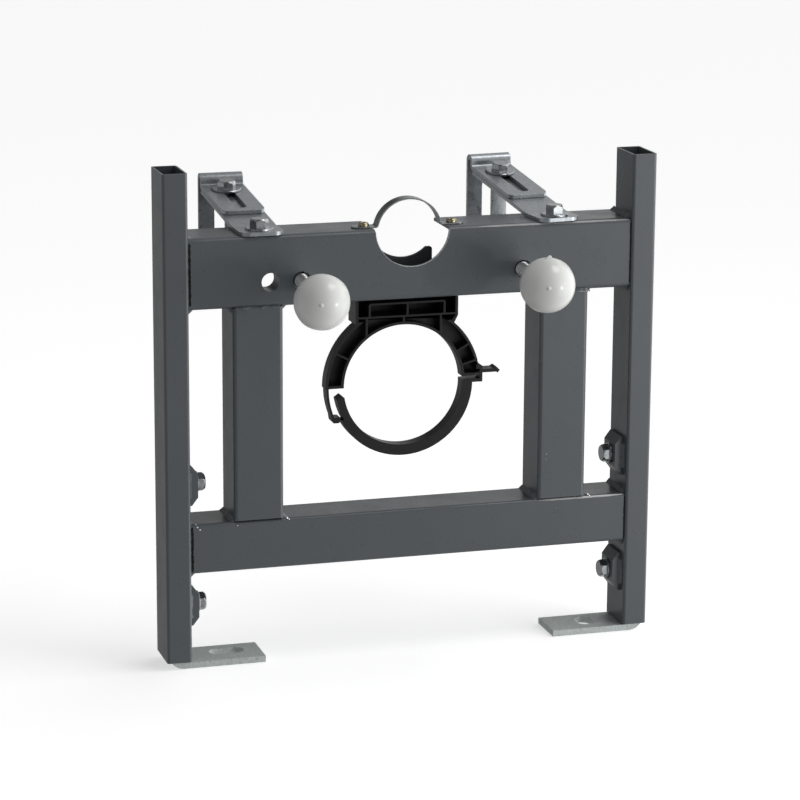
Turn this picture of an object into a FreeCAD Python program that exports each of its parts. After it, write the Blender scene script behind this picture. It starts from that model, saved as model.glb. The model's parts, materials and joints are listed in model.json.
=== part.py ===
import FreeCAD, Part
import math
import os

os.makedirs("parts", exist_ok=True)
V = FreeCAD.Vector

# Frame of reference, in millimetres: X to the right seen from the front, Y back
# towards the wall, Z up. X = 0 is the middle of the frame, Y = 0 the front faces
# of the two posts, Z = 0 the floor under the foot plates.

# Clearances
slide_gap = 0.3
snap_gap = 0.4

# Feet: flat bar, bent up into the posts
foot_thickness = 5.0
foot_outer_radius = 12.0
foot_reach = 59.8
foot_leg_top = 315.0
foot_gap = 0.6
foot_slot_width = 14.0
left_foot_slot_length = 28.0
left_foot_slot_from_post = 32.5
left_foot_slot_back = 3.0
right_foot_slot_length = 20.0
right_foot_slot_from_post = 26.5
right_foot_slot_back = 1.0

# Posts: upright box tube with open tops
frame_width = 400.0
post_width = 20.0
post_depth = 40.0
post_height = 388.0
post_wall = 1.5
post_radius = 2.2
post_bottom = foot_thickness + foot_gap
post_inner_x = frame_width / 2 - post_width

# Crossbars and inner uprights
bar_setback = 2.0
channel_height = 56.0
channel_depth = 42.0
channel_wall = 2.5
channel_radius = 4.3
channel_rise = 281.0
channel_bottom = post_bottom + channel_rise
channel_top = channel_bottom + channel_height
lower_bar_size = 40.0
lower_bar_wall = 2.0
lower_bar_radius = 3.0
lower_bar_rise = 71.0
lower_bar_bottom = post_bottom + lower_bar_rise
lower_bar_top = lower_bar_bottom + lower_bar_size
upright_size = 40.0
upright_spacing = 250.0

# Pan fixing holes: 180 mm for the studs, 230 mm for the open pair. The studs are
# loose in their sleeves and droop a little under the weight of their caps.
stud_spacing = 180.0
pan_hole_pitch = 25.0
outer_hole_spacing = stud_spacing + 2 * pan_hole_pitch
hole_height = 19.5
hole_z = channel_bottom + hole_height
pan_hole_diameter = 14.4
stud_diameter = 12.0
sleeve_diameter = 20.0
sleeve_rear = 21.0
stud_front = -63.0
stud_rear = 38.0
left_stud_droop = 4.5
right_stud_droop = 1.4
ball_diameter = 43.0
ball_y = -56.0
ball_collar_length = 6.0

# Foot clamps: a lug and a hex bolt above and below the lower crossbar
lug_height = 32.0
lug_proud = 7.5
lug_depth = 25.0
lug_chamfer = 5.0
lower_lug_rise = 43.5
upper_lug_rise = 141.0
lug_centres = (post_bottom + lower_lug_rise, post_bottom + upper_lug_rise)
clamp_bolt_diameter = 8.0
clamp_head_height = 5.5
clamp_head_flats = 13.0

# Flush pipe notch, saddle and strap
flush_x = -1.0
notch_radius = 30.0
saddle_radius = 27.5
saddle_half_width = 24.0
saddle_y = 29.0
saddle_thickness = 2.5
saddle_top_drop = 20.0
strap_outer_radius = 27.0
strap_centre_drop = 4.3
strap_thickness = 1.2
strap_width = 11.0
strap_y = 11.0
strap_bend = 2.2
strap_foot_length = 18.0
strap_screw_offset = 35.8

# Wall brackets: a cranked arm that swivels on one bolt in the channel, and a slotted
# plate that slides on it. The right one stands turned about its bolt, is cranked a
# little steeper, and its plate is drawn out a little further.
left_bracket_from_post = 59.0
right_bracket_from_post = 60.5
left_bracket_turn = 0.0
right_bracket_turn = 5.5
left_arm_slope = 6.0
right_arm_slope = 9.0
bracket_width = 35.0
arm_thickness = 3.0
arm_front = 1.0
arm_flat_end = 30.0
arm_corner_radius = 8.0
arm_bolt_y = 14.0
arm_washer_diameter = 22.0
plate_bolt_y = 122.0
arm_past_bolt = 13.0
arm_rear = plate_bolt_y + arm_past_bolt
plate_thickness = 3.0
plate_length = 74.5
left_plate_lap = 61.0
right_plate_lap = 58.7
plate_washer_diameter = 24.0
plate_slot_width = 9.0
plate_slot_from_front = 8.0
plate_slot_from_rear = 4.0
plate_corner_radius = 8.0
plate_bend = 3.2
plate_rise = 2.1
plate_fold_radius = 4.0
leg_bottom = channel_bottom + 4.0
leg_slot_width = 9.0
leg_slot_top = channel_top + 10.0
leg_slot_bottom = leg_bottom + 12.0
bracket_bolt_diameter = 8.0
bracket_hex_flats = 13.0
washer_thickness = 1.6

# Soil pipe clip: ribbed upper half, closing strap hooked on at the left and snapped
# shut at the right. The ring is shallower than the block above it.
clip_front = 20.0
clip_ring_depth = 11.0
clip_block_depth = 21.0
clip_wall = 2.2
clip_rib = 1.6
clip_web = 2.0
clip_x = -2.7
clip_rise = 208.4
clip_z = post_bottom + clip_rise
clip_bore_radius = 48.8
clip_body_height = 15.0
clip_outer_radius = clip_bore_radius + clip_body_height
clip_block_left = -42.0
clip_block_right = 42.3
clip_waist_angle = 48.9
clip_waist_height = 6.0
clip_shelf_drop = 17.0
clip_lintel_drop = 6.5
clip_upper_ribs = (-27.8, 3.2, 33.7)
clip_lower_ribs = (-30.3, 0.2, 30.7)
clip_radial_ribs = (15.35, 29.0, 153.0)
clip_left_end_z = clip_z
clip_right_end_z = clip_z + 3.9
clip_strap_height = 8.6
clip_strap_radius = clip_bore_radius + clip_strap_height
clip_strap_left_z = clip_z - 9.0
clip_strap_right_z = clip_z + 1.2
hook_z = clip_z - 28.0
hook_height = 4.5
hook_seat_z = hook_z + 2.1
hook_seat_gap = 0.4
hook_tip_x = clip_x - hook_seat_gap - math.sqrt(
    clip_strap_radius ** 2 - (clip_z - hook_seat_z) ** 2)
hook_arm_wall = 1.8
hook_arm_inset = 0.9
hook_recess = 2.4
niche_angle = 15.35
flange_thickness = 2.3
flange_end_x = clip_x + clip_outer_radius - 3.5
latch_wall_x = clip_x + clip_outer_radius - 0.2
latch_wall = 2.3
latch_floor = 2.6
latch_height = 12.8
barb_height = 2.3
lever_length = 14.6
lever_thickness = 2.8


def save(shape, name):
    shape.exportStep("parts/" + name + ".step")


def block(x0, x1, y0, y1, z0, z1):
    return Part.makeBox(x1 - x0, y1 - y0, z1 - z0, V(x0, y0, z0))


def rounded_block(x0, x1, y0, y1, z0, z1, axis, radius):
    """A box whose four edges along one axis are rounded."""
    body = block(x0, x1, y0, y1, z0, z1)
    edges = []
    for edge in body.Edges:
        direction = edge.tangentAt(edge.FirstParameter)
        if abs(direction.dot(axis)) > 0.99:
            edges.append(edge)
    return body.makeFillet(radius, edges)


def box_tube(x0, x1, y0, y1, z0, z1, axis, radius, wall):
    """A hollow box section, open at both ends along its axis."""
    outer = rounded_block(x0, x1, y0, y1, z0, z1, axis, radius)
    grow_x = 5.0 if axis.x else -wall
    grow_y = 5.0 if axis.y else -wall
    grow_z = 5.0 if axis.z else -wall
    inner = rounded_block(
        x0 - grow_x, x1 + grow_x, y0 - grow_y, y1 + grow_y, z0 - grow_z, z1 + grow_z,
        axis, max(radius - wall, 0.6))
    return outer.cut(inner)


def rod(x, y, z, axis, radius, length):
    return Part.makeCylinder(radius, length, V(x, y, z), axis)


def mirrored(shape):
    return shape.mirror(V(0, 0, 0), V(1, 0, 0))


def polygon_prism(points, offset):
    """Extrude a closed polygon of 3D points along an offset vector."""
    wire = Part.makePolygon([V(*p) for p in points] + [V(*points[0])])
    return Part.Face(wire).extrude(offset)


def slot_along_x(cx, cy, length, width, z0, z1):
    half = (length - width) / 2
    slot = block(cx - half, cx + half, cy - width / 2, cy + width / 2, z0, z1)
    for x in (cx - half, cx + half):
        slot = slot.fuse(rod(x, cy, z0, V(0, 0, 1), width / 2, z1 - z0))
    return slot


def slot_along_y(cx, y0, y1, width, z0, z1):
    radius = width / 2
    slot = block(cx - radius, cx + radius, y0 + radius, y1 - radius, z0, z1)
    for y in (y0 + radius, y1 - radius):
        slot = slot.fuse(rod(cx, y, z0, V(0, 0, 1), radius, z1 - z0))
    return slot


def slot_along_z(cx, z0, z1, width, y0, y1):
    radius = width / 2
    slot = block(cx - radius, cx + radius, y0, y1, z0 + radius, z1 - radius)
    for z in (z0 + radius, z1 - radius):
        slot = slot.fuse(rod(cx, y0, z, V(0, 1, 0), radius, y1 - y0))
    return slot


def strip_face(start, heading, moves, thickness, place):
    """Face of a bent strip. The path is walked as straight runs and turns, and both
    sides of the strip are laid half a thickness away from it."""
    a, b = start
    angle = math.radians(heading)
    half = thickness / 2
    left = []
    right = []

    def side(px, py, direction, offset):
        return V(*place(px - math.sin(direction) * offset, py + math.cos(direction) * offset))

    first = (side(a, b, angle, half), side(a, b, angle, -half))
    for move in moves:
        if move[0] == "run":
            na = a + move[1] * math.cos(angle)
            nb = b + move[1] * math.sin(angle)
            for edges, offset in ((left, half), (right, -half)):
                line = Part.LineSegment(side(a, b, angle, offset), side(na, nb, angle, offset))
                edges.append(line.toShape())
            a, b = na, nb
        else:
            radius = move[1]
            turn = math.radians(move[2])
            sign = 1 if turn > 0 else -1
            ca = a - math.sin(angle) * radius * sign
            cb = b + math.cos(angle) * radius * sign

            def walk(fraction):
                d = angle + turn * fraction
                return ca + math.sin(d) * radius * sign, cb - math.cos(d) * radius * sign, d

            for edges, offset in ((left, half), (right, -half)):
                points = [side(*walk(f), offset) for f in (0.0, 0.5, 1.0)]
                edges.append(Part.Arc(*points).toShape())
            a, b, angle = walk(1.0)
    last = (side(a, b, angle, half), side(a, b, angle, -half))
    edges = left + right
    edges.append(Part.LineSegment(first[0], first[1]).toShape())
    edges.append(Part.LineSegment(last[0], last[1]).toShape())
    return Part.Face(Part.Wire(Part.__sortEdges__(edges)))


def hex_prism(flats, height):
    """Hexagon on Z = 0 with the top corners turned down."""
    radius = flats / math.sqrt(3)
    points = []
    for i in range(6):
        angle = math.radians(60 * i)
        points.append((radius * math.cos(angle), radius * math.sin(angle), 0))
    prism = polygon_prism(points, V(0, 0, height))
    cone = Part.makeCone(radius + height, flats / 2 - 0.4, height + radius * 0.55,
                         V(0, 0, -radius * 0.55), V(0, 0, 1))
    return prism.common(cone)


def hex_bolt(flats, head_height, washer_diameter, washer_thickness, shank, length):
    """Bolt pointing down, with the underside of its washer at Z = 0."""
    head = hex_prism(flats, head_height)
    head.translate(V(0, 0, washer_thickness))
    bolt = head
    if washer_thickness > 0:
        washer = Part.makeCylinder(washer_diameter / 2, washer_thickness)
        washer = washer.makeChamfer(min(0.4, washer_thickness / 3), washer.Edges[:1])
        bolt = bolt.fuse(washer)
    bolt = bolt.fuse(Part.makeCylinder(shank / 2, length, V(0, 0, -length)))
    return bolt


def post():
    """Left post: box tube, drilled on the inner side for the two clamp bolts."""
    x0 = -frame_width / 2
    tube = box_tube(x0, x0 + post_width, 0, post_depth, post_bottom, post_bottom + post_height,
                    V(0, 0, 1), post_radius, post_wall)
    for z in lug_centres:
        hole = rod(x0 + post_width / 2, post_depth / 2, z, V(1, 0, 0),
                   clamp_bolt_diameter / 2 + 0.2, post_width)
        tube = tube.cut(hole)
    return tube


def clamp_lug(z):
    """Thick lug on the inner side of the left post, with turned-in ends."""
    face_x = -post_inner_x
    half = lug_height / 2
    y0 = (post_depth - lug_depth) / 2
    outline = (
        (face_x, y0, z - half),
        (face_x + lug_proud - lug_chamfer, y0, z - half),
        (face_x + lug_proud, y0, z - half + lug_chamfer * 1.3),
        (face_x + lug_proud, y0, z + half - lug_chamfer * 1.3),
        (face_x + lug_proud - lug_chamfer, y0, z + half),
        (face_x, y0, z + half))
    lug = polygon_prism(outline, V(0, lug_depth, 0))
    return lug.cut(rod(face_x - 1, post_depth / 2, z, V(1, 0, 0),
                       clamp_bolt_diameter / 2 + 0.2, lug_proud + 2))


def clamp_bolt(z):
    """Hex bolt through the lug; its end stops just short of the foot bar."""
    head_x = -post_inner_x + lug_proud
    bar_face = -frame_width / 2 + post_wall + slide_gap + foot_thickness
    length = head_x - bar_face - slide_gap
    bolt = hex_bolt(clamp_head_flats, clamp_head_height, 17.0, 2.0, clamp_bolt_diameter, length)
    bolt.rotate(V(0, 0, 0), V(0, 1, 0), 90)
    bolt.translate(V(head_x, post_depth / 2, z))
    return bolt


def foot(slot_from_post, slot_back, slot_length, slot_direction):
    """Left foot: flat bar lying on the floor, bent up against the outer post wall."""
    width = post_depth - 2 * post_wall - 2 * slide_gap
    y0 = (post_depth - width) / 2
    x_leg = -frame_width / 2 + post_wall + slide_gap + foot_thickness / 2
    bend = foot_outer_radius - foot_thickness / 2
    run = -post_inner_x + foot_reach - (x_leg + bend)
    face = strip_face(
        (x_leg, foot_leg_top), -90,
        (("run", foot_leg_top - foot_outer_radius), ("turn", bend, 90), ("run", run)),
        foot_thickness, lambda a, b: (a, y0, b))
    bar = face.extrude(V(0, width, 0))
    cx = -post_inner_x + slot_from_post
    cy = post_depth / 2 + slot_back
    if slot_direction == "x":
        cut = slot_along_x(cx, cy, slot_length, foot_slot_width, -1, foot_thickness + 1)
    else:
        cut = slot_along_y(cx, cy - slot_length / 2, cy + slot_length / 2,
                           foot_slot_width, -1, foot_thickness + 1)
    return bar.cut(cut)


def flush_cylinder(radius, y0, y1):
    return rod(flush_x, y0, channel_top, V(0, 1, 0), radius, y1 - y0)


def bracket_x(side):
    if side == "left":
        return left_bracket_from_post - post_inner_x
    return post_inner_x - right_bracket_from_post


def upper_crossbar():
    """Channel bent from sheet, open to the rear, with the flush pipe notch."""
    y0 = bar_setback
    y1 = bar_setback + channel_depth
    outer = block(-post_inner_x, post_inner_x, y0, y1, channel_bottom, channel_top)
    edges = []
    for edge in outer.Edges:
        centre = edge.CenterOfMass
        if abs(centre.y - y0) < 0.01 and abs(edge.tangentAt(edge.FirstParameter).x) > 0.99:
            edges.append(edge)
    outer = outer.makeFillet(channel_radius, edges)
    inner = block(-post_inner_x - 1, post_inner_x + 1, y0 + channel_wall, y1 + channel_depth,
                  channel_bottom + channel_wall, channel_top - channel_wall)
    edges = []
    for edge in inner.Edges:
        centre = edge.CenterOfMass
        if abs(centre.y - y0 - channel_wall) < 0.01:
            if abs(edge.tangentAt(edge.FirstParameter).x) > 0.99:
                edges.append(edge)
    inner = inner.makeFillet(channel_radius - channel_wall, edges)
    channel = outer.cut(inner)
    channel = channel.cut(flush_cylinder(notch_radius, y0 - 1, y1 + 1))
    for spacing in (stud_spacing, outer_hole_spacing):
        for x in (-spacing / 2, spacing / 2):
            channel = channel.cut(rod(x, y0 - 1, hole_z, V(0, 1, 0), pan_hole_diameter / 2,
                                      channel_wall + 2))
    z0 = channel_top - channel_wall - 1
    for x in (bracket_x("left"), bracket_x("right")):
        channel = channel.cut(rod(x, arm_bolt_y, z0, V(0, 0, 1),
                                  bracket_bolt_diameter / 2 + slide_gap, channel_wall + 2))
    for x in (flush_x - strap_screw_offset, flush_x + strap_screw_offset):
        channel = channel.cut(rod(x, strap_y + strap_width / 2, z0, V(0, 0, 1), 2.2,
                                  channel_wall + 2))
    return channel


def sleeve(x, bore):
    """Tube welded behind the front of the channel around a fixing hole."""
    y0 = bar_setback + channel_wall
    tube = rod(x, y0, hole_z, V(0, 1, 0), sleeve_diameter / 2, sleeve_rear - y0)
    return tube.cut(rod(x, y0 - 1, hole_z, V(0, 1, 0), bore / 2, sleeve_rear))


def saddle_plate():
    """Upright plate inside the channel with a hollow for the flush pipe."""
    z0 = channel_bottom + channel_wall
    plate = rounded_block(
        flush_x - saddle_half_width, flush_x + saddle_half_width,
        saddle_y, saddle_y + saddle_thickness, z0, channel_top - saddle_top_drop,
        V(0, 1, 0), 2.0)
    return plate.cut(flush_cylinder(saddle_radius, saddle_y - 1,
                                    saddle_y + saddle_thickness + 1))


def flush_strap():
    """Thin steel strap arched over the flush pipe, with a foot on either side. The
    arc's centre lies below the top of the channel."""
    y0 = strap_y
    centre_radius = strap_outer_radius - strap_thickness / 2
    lean = math.asin((strap_thickness / 2 + strap_bend + strap_centre_drop)
                     / (centre_radius + strap_bend))
    foot_end = (centre_radius + strap_bend) * math.cos(lean) + strap_foot_length
    turn = 90 - math.degrees(lean)
    face = strip_face(
        (flush_x - foot_end, channel_top + strap_thickness / 2), 0,
        (("run", strap_foot_length), ("turn", strap_bend, turn),
         ("turn", centre_radius, -2 * turn), ("turn", strap_bend, turn),
         ("run", strap_foot_length)),
        strap_thickness, lambda a, b: (a, y0, b))
    strap = face.extrude(V(0, strap_width, 0))
    outline = rounded_block(flush_x - foot_end, flush_x + foot_end, y0, y0 + strap_width,
                            channel_top - 1, channel_top + 2 * strap_outer_radius,
                            V(0, 0, 1), strap_width / 2 - 0.1)
    strap = strap.common(outline)
    for x in (flush_x - strap_screw_offset, flush_x + strap_screw_offset):
        strap = strap.cut(rod(x, y0 + strap_width / 2, channel_top - 1, V(0, 0, 1), 2.2,
                              strap_thickness + 2))
    return strap


def strap_screw(x):
    """Pan-head screw holding one foot of the flush strap."""
    z = channel_top + strap_thickness
    head = Part.makeCylinder(4.2, 3.0)
    head = head.makeFillet(1.8, [head.Edges[0]])
    cross = block(-2.2, 2.2, -0.5, 0.5, 1.8, 4).fuse(block(-0.5, 0.5, -2.2, 2.2, 1.8, 4))
    head = head.cut(cross)
    screw = head.fuse(Part.makeCylinder(2.0, 9.0, V(0, 0, -9.0)))
    screw.translate(V(x, strap_y + strap_width / 2, z))
    return screw


def drooped(shape, x, droop):
    """Tip a stud, or its cap, forward and down about the middle of its sleeve."""
    middle = (bar_setback + sleeve_rear) / 2
    shape.rotate(V(x, middle, hole_z), V(1, 0, 0), droop)
    return shape


def stud(x, droop):
    """Pan stud through the channel front and its sleeve."""
    length = stud_rear - stud_front
    body = rod(x, stud_front, hole_z, V(0, 1, 0), stud_diameter / 2, length)
    ends = [e for e in body.Edges if abs(e.Length - math.pi * stud_diameter) < 0.01]
    return drooped(body.makeChamfer(1.2, ends), x, droop)


def ball_cap(x, droop):
    """Round cap pushed over the front end of a stud."""
    ball = Part.makeSphere(ball_diameter / 2, V(x, ball_y, hole_z))
    bore_radius = stud_diameter / 2 + slide_gap / 2
    bore_start = stud_front - slide_gap
    ball = ball.cut(rod(x, bore_start, hole_z, V(0, 1, 0), bore_radius, 2 * ball_diameter))
    collar_front = ball_y + ball_diameter / 2 - 3.5
    collar = rod(x, collar_front, hole_z, V(0, 1, 0), bore_radius + 2.6, ball_collar_length)
    collar = collar.cut(rod(x, collar_front - 1, hole_z, V(0, 1, 0), bore_radius,
                            ball_collar_length + 2))
    return drooped(ball.fuse(collar), x, droop)


def on_bracket(shape, side):
    """Put a bracket piece, drawn round X = 0, in its place and turn it about its bolt."""
    turn = left_bracket_turn if side == "left" else right_bracket_turn
    shape.rotate(V(0, arm_bolt_y, 0), V(0, 0, 1), turn)
    shape.translate(V(bracket_x(side), 0, 0))
    return shape


def arm_slope(side):
    return left_arm_slope if side == "left" else right_arm_slope


def arm_z(y, side):
    """Height of the top of a bracket arm at depth y on its rising part."""
    rise = (y - arm_flat_end) * math.tan(math.radians(arm_slope(side)))
    return channel_top + arm_thickness + rise


def bracket_arm(side):
    """Flat arm bolted on the channel, cranked to rise towards the wall."""
    bend = 30.0
    slope = arm_slope(side)
    flat = arm_flat_end - arm_front - bend * math.tan(math.radians(slope / 2))
    rise = (arm_rear - arm_flat_end) / math.cos(math.radians(slope))
    x0 = -bracket_width / 2
    face = strip_face(
        (arm_front, channel_top + arm_thickness / 2), 0,
        (("run", flat), ("turn", bend, slope), ("run", rise)),
        arm_thickness, lambda a, b: (x0, a, b))
    arm = face.extrude(V(bracket_width, 0, 0))
    z0 = channel_top - 1
    z1 = arm_z(arm_rear, side) + arm_thickness
    plan = rounded_block(x0, x0 + bracket_width, arm_front, arm_rear + arm_thickness, z0, z1,
                         V(0, 0, 1), arm_corner_radius)
    tail = block(x0 - 1, x0 + bracket_width + 1, arm_flat_end, arm_rear + arm_thickness, z0, z1)
    arm = arm.common(plan.fuse(tail))
    hole_radius = bracket_bolt_diameter / 2 + slide_gap
    arm = arm.cut(rod(0, arm_bolt_y, z0, V(0, 0, 1), hole_radius, z1 - z0))
    rear_hole = rod(0, 0, -2 * arm_thickness, V(0, 0, 1), hole_radius, 4 * arm_thickness)
    rear_hole.rotate(V(0, 0, 0), V(1, 0, 0), slope)
    rear_hole.translate(V(0, plate_bolt_y, arm_z(plate_bolt_y, side)))
    return on_bracket(arm.cut(rear_hole), side)


def arm_bolt(side):
    """Hex bolt with a washer, through the front of an arm and the channel's top."""
    bolt = hex_bolt(bracket_hex_flats, 7.0, arm_washer_diameter, washer_thickness,
                    bracket_bolt_diameter, arm_thickness + channel_wall + 6.5)
    nut = hex_prism(bracket_hex_flats, 5.0)
    nut.translate(V(0, 0, -arm_thickness - channel_wall - 5.0))
    bolt = bolt.fuse(nut)
    bolt.translate(V(0, arm_bolt_y, channel_top + arm_thickness))
    return on_bracket(bolt, side)


def plate_bolt(side):
    """Hex bolt with a wide washer that clamps the slotted plate on its arm."""
    under_washer = plate_thickness + 2 * slide_gap
    bolt = hex_bolt(bracket_hex_flats, 6.0, plate_washer_diameter, washer_thickness,
                    bracket_bolt_diameter, under_washer + arm_thickness + 9.0)
    nut = hex_prism(bracket_hex_flats, 6.0)
    nut.translate(V(0, 0, -under_washer - arm_thickness - 6.0))
    bolt = bolt.fuse(nut)
    bolt.translate(V(0, 0, under_washer))
    bolt.rotate(V(0, 0, 0), V(1, 0, 0), arm_slope(side))
    bolt.translate(V(0, plate_bolt_y, arm_z(plate_bolt_y, side)))
    return on_bracket(bolt, side)


def wall_plate(side):
    """Slotted plate lying on the arm, folded over at the back into a wall leg."""
    degrees = arm_slope(side)
    slope = math.radians(degrees)
    lap = left_plate_lap if side == "left" else right_plate_lap
    plate_front = plate_bolt_y - lap
    plate_rear = plate_front + plate_length
    lift = (slide_gap + plate_thickness / 2) / math.cos(slope)
    run = plate_length / math.cos(slope)
    start = (plate_front, arm_z(plate_front, side) + lift)
    up_start = start[1] + run * math.sin(slope) + plate_bend
    top = up_start + plate_rise + plate_fold_radius
    drop = top - plate_fold_radius - leg_bottom
    x0 = -bracket_width / 2
    face = strip_face(
        start, degrees,
        (("run", run), ("turn", plate_bend, 90 - degrees), ("run", plate_rise),
         ("turn", plate_fold_radius, -180), ("run", drop)),
        plate_thickness, lambda a, b: (x0, a, b))
    plate = face.extrude(V(bracket_width, 0, 0))
    back = plate_rear + 2 * plate_bend + 4 * plate_fold_radius
    z0 = leg_bottom - 1
    z1 = top + plate_thickness
    plan = rounded_block(x0, x0 + bracket_width, plate_front - 1, back, z0, z1,
                         V(0, 0, 1), plate_corner_radius)
    slot_front = plate_front + plate_slot_from_front
    slot_rear = plate_rear - plate_slot_from_rear
    tongue = block(x0 - 1, x0 + bracket_width + 1, slot_front + plate_corner_radius, back,
                   z0, z1)
    plate = plate.common(plan.fuse(tongue))
    slot_top = arm_z(slot_rear, side) + 2 * plate_thickness
    plate = plate.cut(slot_along_y(0, slot_front, slot_rear, plate_slot_width,
                                   channel_top, slot_top))
    plate = plate.cut(slot_along_z(0, leg_slot_bottom, leg_slot_top, leg_slot_width,
                                   plate_rear + plate_bend, back))
    return on_bracket(plate, side)


def clip_disc(radius, y0, y1):
    return rod(clip_x, y0, clip_z, V(0, 1, 0), radius, y1 - y0)


def clip_side_x(radius, z):
    """Left-hand X of a circle about the pipe's axis at height z."""
    return clip_x - math.sqrt(radius ** 2 - (clip_z - z) ** 2)


def clip_ring(y0, y1, inset):
    """Filled outline of the round part, with each end cut level."""
    reach = 2 * clip_outer_radius
    left = block(clip_x - reach, clip_x, y0, y1, clip_left_end_z + inset, clip_z + reach)
    right = block(clip_x, clip_x + reach, y0, y1, clip_right_end_z + inset, clip_z + reach)
    return clip_disc(clip_outer_radius - inset, y0, y1).common(left.fuse(right))


def clip_block(y0, y1, inset):
    """Filled outline of the block that joins the ring to the channel above it. Its left
    wall runs straight down to the ring, its right wall turns in to a waist."""
    angle = math.radians(clip_waist_angle)
    waist_x = clip_outer_radius * math.cos(angle)
    waist_z = clip_z + clip_outer_radius * math.sin(angle)
    shoulder = waist_z + clip_waist_height
    left_z = clip_z + math.sqrt(clip_outer_radius ** 2 - (clip_x - clip_block_left) ** 2)
    return polygon_prism(
        ((clip_block_left + inset, y0, channel_bottom - inset),
         (clip_block_left + inset, y0, left_z + inset),
         (clip_x + waist_x - inset, y0, waist_z + inset),
         (clip_block_right - inset, y0, shoulder),
         (clip_block_right - inset, y0, channel_bottom - inset)),
        V(0, y1 - y0, 0))


def clip_ribs(y0, y1):
    """Ribs left standing between the pockets of the upper half."""
    half = clip_rib / 2
    shelf = channel_bottom - clip_shelf_drop
    lintel = channel_bottom - clip_lintel_drop
    ribs = [block(clip_block_left, clip_block_right, y0, y1, shelf - half, shelf + half)]
    ribs.append(block(clip_x + clip_upper_ribs[0], clip_x + clip_upper_ribs[-1], y0, y1,
                      lintel - half, lintel + half))
    for offset in clip_upper_ribs:
        x = clip_x + offset
        ribs.append(block(x - half, x + half, y0, y1, shelf, lintel))
    for offset in clip_lower_ribs:
        x = clip_x + offset
        ribs.append(block(x - half, x + half, y0, y1, clip_z, shelf))
    for angle in clip_radial_ribs:
        rib = block(clip_bore_radius - 5, clip_outer_radius + 5, y0, y1, -half, half)
        rib.rotate(V(0, 0, 0), V(0, 1, 0), -angle)
        rib.translate(V(clip_x, 0, clip_z))
        ribs.append(rib)
    return ribs


def clip_niche(y0, y1):
    """Wedge cut from the right end of the ring, where the latch reaches in."""
    reach = 2 * clip_outer_radius
    slope = math.tan(math.radians(niche_angle))
    low = clip_right_end_z - 1
    under_rib = clip_rib / 2 / math.cos(math.radians(niche_angle))
    wedge = polygon_prism(
        ((clip_x + (low - clip_z + under_rib) / slope, y0, low),
         (clip_x + reach, y0, low),
         (clip_x + reach, y0, clip_z + reach * slope - under_rib)),
        V(0, y1 - y0, 0))
    return wedge.cut(clip_disc(clip_bore_radius + clip_wall, y0 - 1, y1 + 1))


def hook_arm():
    """Thin arm that follows the ring down on the left and turns in as a hook."""
    y0 = clip_front
    y1 = clip_front + clip_ring_depth
    outer = clip_outer_radius - hook_arm_inset
    inner = outer - hook_arm_wall
    arm = clip_disc(outer, y0, y1).cut(clip_disc(inner, y0 - 1, y1 + 1))
    knee = hook_z + hook_height + 1.6
    arm = arm.common(block(clip_x - 2 * outer, clip_x - clip_bore_radius / 2, y0, y1,
                           knee - 0.6, clip_left_end_z + clip_wall))
    hook = polygon_prism(
        ((clip_side_x(outer, knee), y0, knee),
         (clip_side_x(outer, knee) + 0.7, y0, hook_z + 1.6),
         (clip_side_x(outer, knee) + 2.0, y0, hook_z),
         (hook_tip_x - 1.2, y0, hook_z),
         (hook_tip_x, y0, hook_z + 1.2),
         (hook_tip_x, y0, hook_z + hook_height),
         (clip_side_x(inner, knee) + 0.7, y0, hook_z + hook_height),
         (clip_side_x(inner, knee), y0, knee)),
        V(0, y1 - y0, 0))
    return arm.fuse(hook)


def soil_clip_upper():
    """Ribbed upper half of the soil pipe clip with its hook arm and latch flange."""
    y0 = clip_front
    y1 = clip_front + clip_block_depth
    ring_y1 = clip_front + clip_ring_depth
    body = clip_ring(y0, ring_y1, 0.0).fuse(clip_block(y0, y1, 0.0))
    pockets = clip_ring(y0 - 1, ring_y1 - clip_web, clip_wall)
    pockets = pockets.fuse(clip_block(y0 - 1, y1 - clip_web, clip_wall))
    pockets = pockets.cut(clip_disc(clip_bore_radius + clip_wall, y0 - 2, y1))
    for rib in clip_ribs(y0 - 2, y1):
        pockets = pockets.cut(rib)
    body = body.cut(pockets)
    body = body.cut(clip_disc(clip_bore_radius, y0 - 2, y1 + 2))
    body = body.cut(clip_niche(y0 - 1, y1 + 1))
    body = body.fuse(hook_arm())
    flange = rounded_block(clip_x + clip_bore_radius + clip_wall / 2, flange_end_x, y0, ring_y1,
                           clip_right_end_z, clip_right_end_z + flange_thickness,
                           V(0, 1, 0), 0.9)
    return body.fuse(flange).removeSplitter()


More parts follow.
